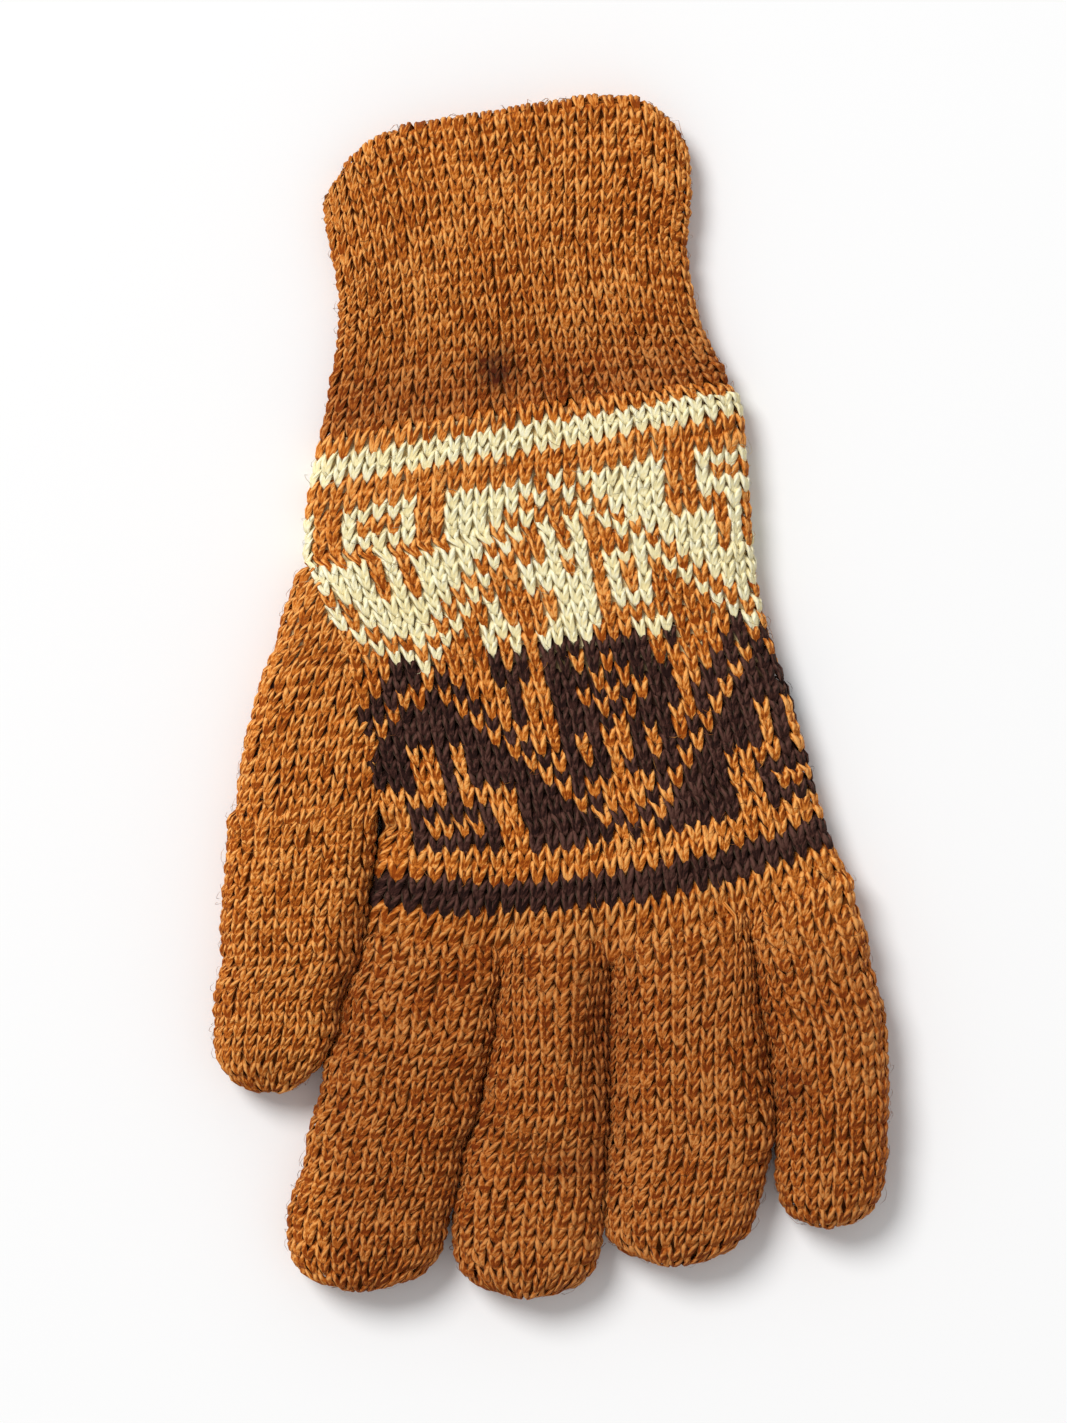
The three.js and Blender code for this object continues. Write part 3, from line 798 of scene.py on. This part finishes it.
class Maker:
    # adds nodes to one tree by type, settings and inputs
    def __init__(self, tree):
        self.tree = tree

    def node(self, kind, settings=None, inputs=None, output=0):
        made = self.tree.nodes.new(kind)
        for key, value in (settings or {}).items():
            if key == "stops":
                while len(made.color_ramp.elements) < len(value):
                    made.color_ramp.elements.new(1.0)
                for element, (position, color) in zip(made.color_ramp.elements, value):
                    element.position = position
                    element.color = color
            else:
                setattr(made, key, value)
        for key, value in (inputs or {}).items():
            socket = made.inputs[key]
            if isinstance(value, Wire):
                self.tree.links.new(value.socket, socket)
            else:
                socket.default_value = value
        return Wire(self, made.outputs[output])

    def parts(self, vector):
        split = self.node("ShaderNodeSeparateXYZ", {}, {0: vector}).socket.node
        return [Wire(self, output) for output in split.outputs]

    def vector(self, x=0.0, y=0.0, z=0.0):
        return self.node("ShaderNodeCombineXYZ", {}, {0: x, 1: y, 2: z})

    def scaled(self, vector, factor):
        return self.node("ShaderNodeVectorMath", {"operation": "SCALE"}, {0: vector, "Scale": factor})

    def joined(self, first, second):
        return self.node("ShaderNodeVectorMath", {"operation": "ADD"}, {0: first, 1: second})

    def attribute(self, name, kind="FLOAT"):
        return self.node("GeometryNodeInputNamedAttribute", {"data_type": kind}, {"Name": name})

    def stored(self, geometry, name, value, kind="FLOAT", domain="POINT"):
        return self.node("GeometryNodeStoreNamedAttribute", {"data_type": kind, "domain": domain},
                         {"Geometry": geometry, "Name": name, "Value": value})

    def chance(self, low, high, seed):
        return self.node("FunctionNodeRandomValue", {"data_type": "FLOAT"}, {2: low, 3: high, 8: seed}, 1)

    def inputs(self, names):
        # named inputs of a geometry tree, after the geometry itself
        faces = self.tree.interface
        faces.new_socket("Geometry", in_out="INPUT", socket_type="NodeSocketGeometry")
        for name, kind in names:
            faces.new_socket(name, in_out="INPUT", socket_type="NodeSocket" + kind)
        faces.new_socket("Geometry", in_out="OUTPUT", socket_type="NodeSocketGeometry")
        given = self.tree.nodes.new("NodeGroupInput")
        return {output.name: Wire(self, output) for output in given.outputs if output.name}

    def finish(self, geometry, material):
        geometry = self.node("GeometryNodeSetMaterial", {}, {"Geometry": geometry, "Material": material})
        self.tree.links.new(geometry.socket, self.tree.nodes.new("NodeGroupOutput").inputs[0])
        return self.tree


def knitTree():
    # lays a stitch on each cell, bends the whole sheet onto its carrier, and makes it real
    make = Maker(bpy.data.node_groups.new("knitStitches", "GeometryNodeTree"))
    given = make.inputs([
        ("Carrier", "Object"), ("Stitch", "Object"), ("Yarn Height", "Float"), ("Last Row", "Float"),
        ("Unevenness", "Float"), ("Turn", "Float"), ("Drift", "Float"), ("Drift Scale", "Float"),
        ("Seed", "Int"), ("Atlas Side", "Float"), ("Material", "Material"),
    ])
    carrier = make.node("GeometryNodeObjectInfo", {}, {"Object": given["Carrier"]}, "Geometry")
    stitch = make.node("GeometryNodeObjectInfo", {}, {"Object": given["Stitch"]}, "Geometry")
    uneven = given["Unevenness"]
    seed = given["Seed"]

    def wobble(number):
        return make.chance(-1.0, 1.0, seed + number) * uneven

    tall = make.attribute("thick") * (wobble(3) * 1.6 + 1)
    size = make.vector(make.attribute("span") * (wobble(1) + 1), wobble(2) + 1, tall)
    turn = make.vector(z=make.chance(-1.0, 1.0, seed + 4) * given["Turn"])
    drift = make.node("ShaderNodeTexNoise", {}, {"Scale": given["Drift Scale"], "Detail": 1.0}, "Color")
    driftX, driftY, driftZ = make.parts(drift)
    shift = make.vector((driftX - 0.5) * given["Drift"] + wobble(5) * 0.5,
                        (driftY - 0.5) * given["Drift"] * 1.6 + wobble(6) * 0.9, wobble(7) * 1.2)
    points = make.node("GeometryNodeSetPosition", {}, {"Geometry": given["Geometry"], "Offset": shift})
    points = make.stored(points, "shade", make.chance(0.0, 1.0, seed + 8))
    points = make.stored(points, "number", make.node("GeometryNodeInputIndex"))
    laid = make.node("GeometryNodeInstanceOnPoints", {},
                     {"Points": points, "Instance": stitch, "Rotation": turn, "Scale": size})
    laid = make.node("GeometryNodeRealizeInstances", {}, {"Geometry": laid})
    # each stitch gets its own square of the bake map
    side = given["Atlas Side"]
    number = make.attribute("number")
    corner = make.vector(number % side, (number / side).floor())
    square = make.scaled(make.joined(make.attribute("OFBake", "FLOAT_VECTOR"), corner), 1 / side)
    laid = make.stored(laid, "OFBake", square, "FLOAT2", "CORNER")
    # onto the carrier
    x, y, z = make.parts(make.node("GeometryNodeInputPosition"))
    spot = make.vector(x, y.most(given["Last Row"] * -1))
    cell = make.attribute("cell", "FLOAT_VECTOR")
    sampled = []
    for kind in ("GeometryNodeInputPosition", "GeometryNodeInputNormal"):
        sampled.append(make.node(
            "GeometryNodeSampleUVSurface", {"data_type": "FLOAT_VECTOR"},
            {"Mesh": carrier, "Value": make.node(kind), "Source UV Map": cell, "Sample UV": spot}))
    lifted = make.joined(sampled[0], make.scaled(sampled[1], z * given["Yarn Height"]))
    x, y, z = make.parts(lifted)
    resting = make.vector(x, y, z.most(floorLift))
    laid = make.node("GeometryNodeSetPosition", {}, {"Geometry": laid, "Position": resting})
    return make.finish(laid, given["Material"])


def setInputs(modifier, values):
    # a modifier's inputs by name, set by each socket's identifier
    for socket in modifier.node_group.interface.items_tree:
        if socket.in_out == "INPUT" and socket.name in values:
            value = values[socket.name]
            modifier[socket.identifier] = float(value) if socket.socket_type == "NodeSocketFloat" else value


def keepMesh(source, name, spare=()):
    # the evaluated result as a plain mesh in an object of its own
    depsgraph = bpy.context.evaluated_depsgraph_get()
    mesh = bpy.data.meshes.new_from_object(source.evaluated_get(depsgraph), depsgraph=depsgraph)
    for attribute in spare:
        if attribute in mesh.attributes:
            mesh.attributes.remove(mesh.attributes[attribute])
    source.modifiers.clear()
    mesh.name = name
    return addObject(name, mesh)


def looseHairs(name, cells, seed):
    # spots of loose hairs close to some of the stitches, and of their yarn
    chance = np.random.default_rng(seed)
    values = [[item.value for item in cells.data.attributes[value].data] for value in cellValues]
    picked = []
    for vertex, span, kind, thick, dusk in zip(cells.data.vertices, *values):
        across, down = chance.uniform(-0.5, 0.5, 2)
        if chance.random() < fuzz["share"]:
            picked.append((vertex.co.x + across, down - vertex.co.y, 1, kind, thick, dusk))
    return layStitches(name, picked)


def knitOnto(name, carrier, cells, lastRow, material, seed, shape, unevenness, turn):
    # runs the tree on the cells
    modifier = cells.modifiers.new("knit", "NODES")
    modifier.node_group = stitchTree
    setInputs(modifier, {
        "Carrier": carrier, "Stitch": shape, "Yarn Height": yarn["height"] * mm, "Last Row": lastRow,
        "Unevenness": unevenness, "Turn": turn, "Drift": yarn["drift"], "Drift Scale": yarn["driftScale"],
        "Seed": seed, "Material": material,
        "Atlas Side": math.ceil(math.sqrt(len(cells.data.vertices))),
    })
    made = keepMesh(cells, name, ("span", "thick", "number"))
    bpy.data.objects.remove(cells)
    print(name, len(made.data.polygons), "faces")
    return made


def makeShell(name, node, sink):
    # the wall of knit behind the stitches: the solid's own shape, its outer side set back
    bm = bmesh.new()
    bm.from_mesh(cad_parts[node].data)
    bmesh.ops.remove_doubles(bm, verts=bm.verts, dist=shell["merge"] * mm)
    bmesh.ops.recalc_face_normals(bm, faces=bm.faces)
    bm.normal_update()
    surface = BVHTree.FromBMesh(bm)
    moves = []
    for vertex in bm.verts:
        start = vertex.co + vertex.normal * shell["lift"] * mm
        facesIn = surface.ray_cast(start, vertex.normal, shell["reach"] * mm)[0] is not None
        moves.append(0 if facesIn else sink)
    for vertex, move in zip(bm.verts, moves):
        vertex.co = vertex.co - vertex.normal * move * mm
        vertex.co.x += leanOf(node, vertex.co.y / mm - frameShift[1]) * mm
        vertex.co.z = max(vertex.co.z, shell["floor"] * mm)
    for face in bm.faces:
        face.smooth = True
    mesh = bpy.data.meshes.new(name)
    bm.to_mesh(mesh)
    bm.free()
    return addObject(name, mesh)


def twistedYarn(make, palettes, mixes):
    # colour and relief of a two-ply yarn with heathered fibres, along and around each leg; the colour is also
    # painted lighter on the crests of the plies and darker in their grooves
    along, around, unused = make.parts(make.node("ShaderNodeUVMap", {"uv_map": "along"}))
    shade = make.node("ShaderNodeAttribute", {"attribute_name": "shade"}, {}, "Fac")
    place = make.node("ShaderNodeTexCoord", {}, {}, "Object")
    lean = around * yarn["plies"] + along * yarn["twist"]
    ply = ((lean * 2 * math.pi).sine() + 1) / 2
    fibrePlace = make.vector(lean * yarn["fibreAcross"] + shade * 37, along * yarn["fibreAlong"], shade * 91)
    fibre = make.node("ShaderNodeTexNoise", {}, {"Vector": fibrePlace, "Scale": 1.0, "Detail": 3.0,
                                                 "Roughness": 0.6})
    tone = make.node("ShaderNodeTexNoise", {}, {"Vector": place, "Scale": yarn["toneScale"], "Detail": 2.0})
    patch = make.node("ShaderNodeTexNoise", {}, {"Vector": place, "Scale": yarn["patchScale"], "Detail": 1.0})
    # the ply term is a painted highlight on the crests of the plies and painted shade in the grooves between
    # them
    light = fibre * 2.1 + ply * 0.42 + (shade - 0.5) * 0.26 + (tone - 0.5) * 0.3 + (patch - 0.5) * 0.2 - 0.75
    color = None
    for palette, mix in zip(palettes, mixes):
        ramp = make.node("ShaderNodeValToRGB", {"stops": palette}, {"Fac": light})
        color = ramp if color is None else make.node(
            "ShaderNodeMix", {"data_type": "RGBA"}, {0: mix, 6: color, 7: ramp}, 2)
    relief = ply * 0.65 + fibre * 0.6
    # painted shade: a little darker and redder over the fingers and along the dip at the wrist
    x, y, z = make.parts(place)
    dusk = make.node("ShaderNodeAttribute", {"attribute_name": "dusk"}, {}, "Fac")
    beside = eased(make, x, *paintedShade["besideThumb"]) * (1 - paintedShade["thumbShare"]) + paintedShade["thumbShare"]
    shadeShare = eased(make, y, paintedShade["knuckles"], paintedShade["fingers"]) * beside * paintedShade["fingerShade"]
    if len(palettes) == 1:
        # painted shade along the dip at the wrist, on the plain caramel knit
        away = (y - paintedShade["wrist"] - x * paintedShade["wristSlope"]) / paintedShade["wristWidth"]
        shadeShare = shadeShare.most(1 / (away * away + 1) * paintedShade["wristShade"])
        # painted shade in patches over dents and the valleys between fingers
        for patchX, patchY, wide, tall, strength in paintedShade["shadePatches"]:
            offX = (x - patchX) / wide
            offY = (y - patchY) / tall
            dusk = dusk + (1 - (offX * offX + offY * offY) * 0.5).most(0.0) * strength
    darker = make.node("ShaderNodeMix", {"data_type": "RGBA", "blend_type": "MULTIPLY"},
                       {0: 1.0, 6: color, 7: paintedShade["shadeTint"]}, 2)
    color = make.node("ShaderNodeMix", {"data_type": "RGBA"}, {0: shadeShare, 6: color, 7: darker}, 2)
    # painted shade, darker still in the creases between fingers and over the dents
    color = make.node("ShaderNodeMix", {"data_type": "RGBA", "blend_type": "MULTIPLY"},
                      {0: dusk.least(1.0), 6: color, 7: paintedShade["creaseShadeTint"]}, 2)
    return color, relief, place


def eased(make, value, start, end):
    # from 0 at start to 1 at end
    return make.node("ShaderNodeMapRange", {"interpolation_type": "SMOOTHSTEP"},
                     {"Value": value, "From Min": start, "From Max": end})


paintedShade = {
    # painted shade over the fingers, along the wrist and in the creases and dents
    "knuckles": -0.03, "fingers": -0.062, "besideThumb": (-0.052, -0.044), "fingerShade": 0.82,
    "wrist": 0.0675, "wristSlope": 0.1, "wristWidth": 0.011, "wristShade": 0.95, "shadeTint": (0.6, 0.5, 0.5, 1),
    "creaseReach": 0.24, "creaseShadeTint": (0.42, 0.3, 0.25, 1), "thumbCreaseShade": (0, 0.6), "thumbShare": 0.3,
    "fingerCreaseShade": [(0.4, 0.35), (0.35, 0.6), (0.5, 0.4), (0.45, 0)],
    # x, y, half width and half length of patches of painted shade over dents and creases, and how dark
    "shadePatches": [(0.0035, -0.1, 0.008, 0.0035, 0.55), (0.008, -0.072, 0.004, 0.02, 0.4),
                (0.0525, -0.084, 0.0035, 0.006, 0.45), (-0.061, -0.08, 0.007, 0.004, 0.3)],
}
yarn = {
    "height": 1.55, "unevenness": 0.11, "drift": 0.55, "driftScale": 0.35, "plies": 2, "twist": 1.6, "fibreAcross": 3.0, "fibreAlong": 5.0,
    "toneScale": 60.0, "patchScale": 18.0,
    "caramel": [(0.2, (0.29, 0.053, 0.002, 1)), (0.5, (0.66, 0.195, 0.022, 1)), (0.8, (0.96, 0.44, 0.117, 1))],
    "cream": [(0.1, (0.94, 0.79, 0.4, 1)), (0.5, (0.99, 0.89, 0.54, 1)), (0.9, (0.99, 0.94, 0.69, 1))],
    "dark": [(0.2, (0.016, 0.005, 0.004, 1)), (0.5, (0.05, 0.017, 0.012, 1)), (0.85, (0.12, 0.052, 0.038, 1))],
}
# the purl side's colours, darker than the yarn's: painted shade for the gaps between stitches and the inside
# of the cuff
shadedBacking = {
    "caramel": [(0.2, (0.13, 0.03, 0.003, 1)), (0.9, (0.27, 0.08, 0.012, 1))],
    "cream": [(0.2, (0.62, 0.43, 0.17, 1)), (0.9, (0.9, 0.76, 0.42, 1))],
    "dark": [(0.2, (0.03, 0.012, 0.008, 1)), (0.9, (0.07, 0.03, 0.018, 1))],
    "creamBand": (0.004, 0.012, 0.056, 0.064), "darkBand": (-0.05, -0.045, 0.004, 0.012),
}
floorLift = 0.00002
stain = {
    "place": (-0.0117, 0.0713, 0.012), "size": 0.0068, "rag": 420.0, "strength": 0.88,
    "color": (0.06, 0.008, 0.003, 1),
}
shell = {"merge": 0.01, "lift": 0.4, "reach": 40, "floor": 0.6, "sink": 1.15}


def knitMaterial(name, patterned):
    material = bpy.data.materials.new(name)
    material.use_nodes = True
    tree = material.node_tree
    tree.nodes.clear()
    make = Maker(tree)
    palettes = [yarn["caramel"]]
    mixes = [0.0]
    if patterned:
        kind = make.node("ShaderNodeAttribute", {"attribute_name": "yarn"}, {}, "Fac")
        palettes += [yarn["cream"], yarn["dark"]]
        mixes += [kind.least(1.0), (kind - 1).most(0.0)]
    color, relief, place = twistedYarn(make, palettes, mixes)
    if not patterned:
        away = make.node("ShaderNodeVectorMath", {"operation": "DISTANCE"}, {0: place, 1: stain["place"]}, 1)
        ragged = make.node("ShaderNodeTexNoise", {}, {"Vector": place, "Scale": stain["rag"], "Detail": 2.0})
        spot = (1 - away / stain["size"]).most(0.0) * (ragged * 3.2 - 0.4)
        color = make.node("ShaderNodeMix", {"data_type": "RGBA"},
                          {0: spot.most(0.0).least(stain["strength"]), 6: color, 7: stain["color"]}, 2)
    bump = make.node("ShaderNodeBump", {}, {"Strength": 0.9, "Distance": 0.0005, "Height": relief})
    shader = make.node("ShaderNodeBsdfPrincipled", {}, {
        "Base Color": color, "Roughness": 0.85, "Normal": bump, "Specular IOR Level": 0.12,
        "Sheen Weight": 0.06, "Sheen Roughness": 0.4, "Sheen Tint": (1.0, 0.75, 0.45, 1),
    })
    out = tree.nodes.new("ShaderNodeOutputMaterial")
    tree.links.new(shader.socket, out.inputs[0])
    return material


def backingMaterial(name, patterned):
    # the purl side, seen inside the cuff and between the stitches, in colours darker than the yarn's: painted
    # shade
    material = bpy.data.materials.new(name)
    material.use_nodes = True
    tree = material.node_tree
    tree.nodes.clear()
    make = Maker(tree)
    place = make.node("ShaderNodeTexCoord", {}, {}, "Object")
    x, y, z = make.parts(place)
    ridge = ((y * (2 * math.pi / (knit["cuffRow"] * mm))).sine() * 0.5 + 0.5)
    bead = ((x * (2 * math.pi / (knit["fingerColumn"] * mm))).sine() * 0.5 + 0.5)
    fibre = make.node("ShaderNodeTexNoise", {}, {"Vector": place, "Scale": 900.0, "Detail": 3.0})
    # the colour follows the purl ridges and beads, darker in their grooves: painted shade, as well as their
    # relief
    light = ridge * 0.4 + bead * 0.2 + fibre * 0.5
    shadeOf = make.node("ShaderNodeValToRGB", {"stops": shadedBacking["caramel"]}, {"Fac": light})
    if patterned:
        # yarns carried along behind the pattern
        for kind in ("dark", "cream"):
            start, full, fade, end = shadedBacking[kind + "Band"]
            band = eased(make, y, start, full) * (1 - eased(make, y, fade, end))
            other = make.node("ShaderNodeValToRGB", {"stops": shadedBacking[kind]}, {"Fac": light})
            shadeOf = make.node("ShaderNodeMix", {"data_type": "RGBA"}, {0: band, 6: shadeOf, 7: other}, 2)
    bump = make.node("ShaderNodeBump", {}, {"Strength": 0.8, "Distance": 0.0006, "Height": light})
    shader = make.node("ShaderNodeBsdfPrincipled", {}, {
        "Base Color": shadeOf, "Roughness": 0.95, "Normal": bump, "Specular IOR Level": 0.1})
    out = tree.nodes.new("ShaderNodeOutputMaterial")
    tree.links.new(shader.socket, out.inputs[0])
    return material


def outlineCentre():
    # the middle of the glove's outline, which lies over the frame's origin
    rows = [rowBetween(cuffRows, step / 20) for step in range(21)]
    rows += [rowBetween(palmRows, step / 20) for step in range(21)]
    rows += [thumbRow(step / 20) for step in range(21)]
    for number in range(4):
        length = fingers[number]["length"]
        rows += [fingerRow(number, step / 20) for step in range(15)]
        rowAt = functools.partial(fingerRow, number)
        rows.append(capRow(rowAt, length, glove["fingerTip"], 0, math.pi / 2.2))
    points = np.concatenate([rowSection(row, 0, [])[0] for row in rows])
    lowest, highest = cadBox
    middle = np.array(((lowest[0] + highest[0]) / 2, (lowest[1] + highest[1]) / 2)) / mm
    return middle - (points[:, :2].min(axis=0) + points[:, :2].max(axis=0)) / 2


frameShift = np.append(outlineCentre(), 0.0)
print("glove placed at", frameShift)
stitchObject = makeStrand("stitch", stitchShape["leg"], stitchShape["sides"], True)
hairObject = makeStrand("hair", fuzz["hair"], fuzz["sides"], False)
stitchTree = knitTree()
caramelKnit = knitMaterial("caramelKnit", False)
patternedKnit = knitMaterial("patternedKnit", True)
caramelBack = backingMaterial("caramelBack", False)
patternedBack = backingMaterial("patternedBack", True)


def settle(piece, node, slot):
    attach(piece, "root")
    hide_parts(node)


def dress(node, carrier, parts, lastRow, material, slot, seed):
    # the stitches and loose hairs of one tube
    for number, (name, cells) in enumerate(parts):
        hairs = looseHairs(name, cells, seed)
        piece = knitOnto(name + "_knit", carrier, cells, lastRow, material, seed + 20 * number,
                         stitchObject, yarn["unevenness"], yarn["unevenness"])
        settle(piece, node, slot)
        piece = knitOnto(name + "_fuzz", carrier, hairs, lastRow, material, seed + 20 * number + 10,
                         hairObject, fuzz["unevenness"], fuzz["turn"])
        settle(piece, node, slot)
    bpy.data.objects.remove(carrier)


carrier, cells, count = cuffCarrier()
dress("cuff", carrier, [("cuff", cells)], count + 1.4, caramelKnit, "caramel_knit", 11)
carrier, backCells, palmCells, gussetRows = handCarrier()
dress("hand", carrier, [("hand_back", backCells), ("hand_palm", palmCells)], handRowCount + 1.4,
      patternedKnit, "patterned_knit", 101)
carrier, cells = gussetCarrier(gussetRows)
dress("hand", carrier, [("gusset", cells)], handRowCount - 0.1, caramelKnit, "patterned_knit", 201)
carrier, cells, count = tubeCarrier("thumb", thumbRow, glove["thumbLength"], glove["thumbTip"],
                                    glove["thumbBlunt"], knit["thumbColumn"], knit["thumbRow"],
                                    sideShade=paintedShade["thumbCreaseShade"])
dress("thumb", carrier, [("thumb", cells)], count - 0.01, caramelKnit, "caramel_knit", 301)
for number, finger in enumerate(fingers):
    rowAt = functools.partial(fingerRow, number)
    carrier, cells, count = tubeCarrier(finger["name"], rowAt, finger["length"], glove["fingerTip"],
                                        glove["fingerBlunt"], knit["fingerColumn"], knit["fingerRow"],
                                        knit["lastColumns"], paintedShade["fingerCreaseShade"][number])
    dress(finger["name"], carrier, [(finger["name"], cells)], count - 0.01, caramelKnit, "caramel_knit",
          401 + 100 * number)
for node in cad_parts:
    piece = makeShell(node + "_wall", node, shell["sink"])
    piece.data.materials.append(patternedBack if node == "hand" else caramelBack)
    settle(piece, node, "patterned_knit" if node == "hand" else "caramel_knit")
bpy.data.objects.remove(stitchObject)
bpy.data.objects.remove(hairObject)
print("stitches laid")


studio = {
    "lens": 150, "frameHeight": 0.30879, "photo": (1067, 1423), "aim": (-0.0038, -0.0028),
    "floorColor": (0.92, 0.92, 0.92, 1),
    "sky": 0.5, "key": 330, "keySize": 3.0, "keyPlace": (-2.8, 3.0, 5.2),
}


def makeStudio():
    cameraData = bpy.data.cameras.new("camera")
    cameraData.lens = studio["lens"]
    cameraData.sensor_fit = "AUTO"
    cameraData.sensor_width = 36
    camera = addObject("camera", cameraData)
    distance = studio["frameHeight"] * studio["lens"] / 36
    camera.location = (*studio["aim"], distance)
    bpy.context.scene.camera = camera
    world = bpy.data.worlds.new("studio")
    bpy.context.scene.world = world
    world.use_nodes = True
    background = world.node_tree.nodes["Background"]
    background.inputs["Color"].default_value = (1, 1, 1, 1)
    background.inputs["Strength"].default_value = studio["sky"]
    lightData = bpy.data.lights.new("key", "AREA")
    lightData.shape = "DISK"
    lightData.size = studio["keySize"]
    lightData.energy = studio["key"]
    light = addObject("key", lightData)
    light.location = studio["keyPlace"]
    light.rotation_euler = (-Vector(studio["keyPlace"])).to_track_quat("-Z", "Y").to_euler()
    bm = bmesh.new()
    bmesh.ops.create_grid(bm, x_segments=1, y_segments=1, size=3)
    mesh = bpy.data.meshes.new("floor")
    bm.to_mesh(mesh)
    bm.free()
    floor = addObject("floor", mesh)
    material = bpy.data.materials.new("floor")
    material.use_nodes = True
    shader = material.node_tree.nodes["Principled BSDF"]
    shader.inputs["Base Color"].default_value = studio["floorColor"]
    shader.inputs["Roughness"].default_value = 1
    shader.inputs["Specular IOR Level"].default_value = 0
    mesh.materials.append(material)
    bpy.context.scene.view_settings.view_transform = "Standard"


makeStudio()
print("studio ready")
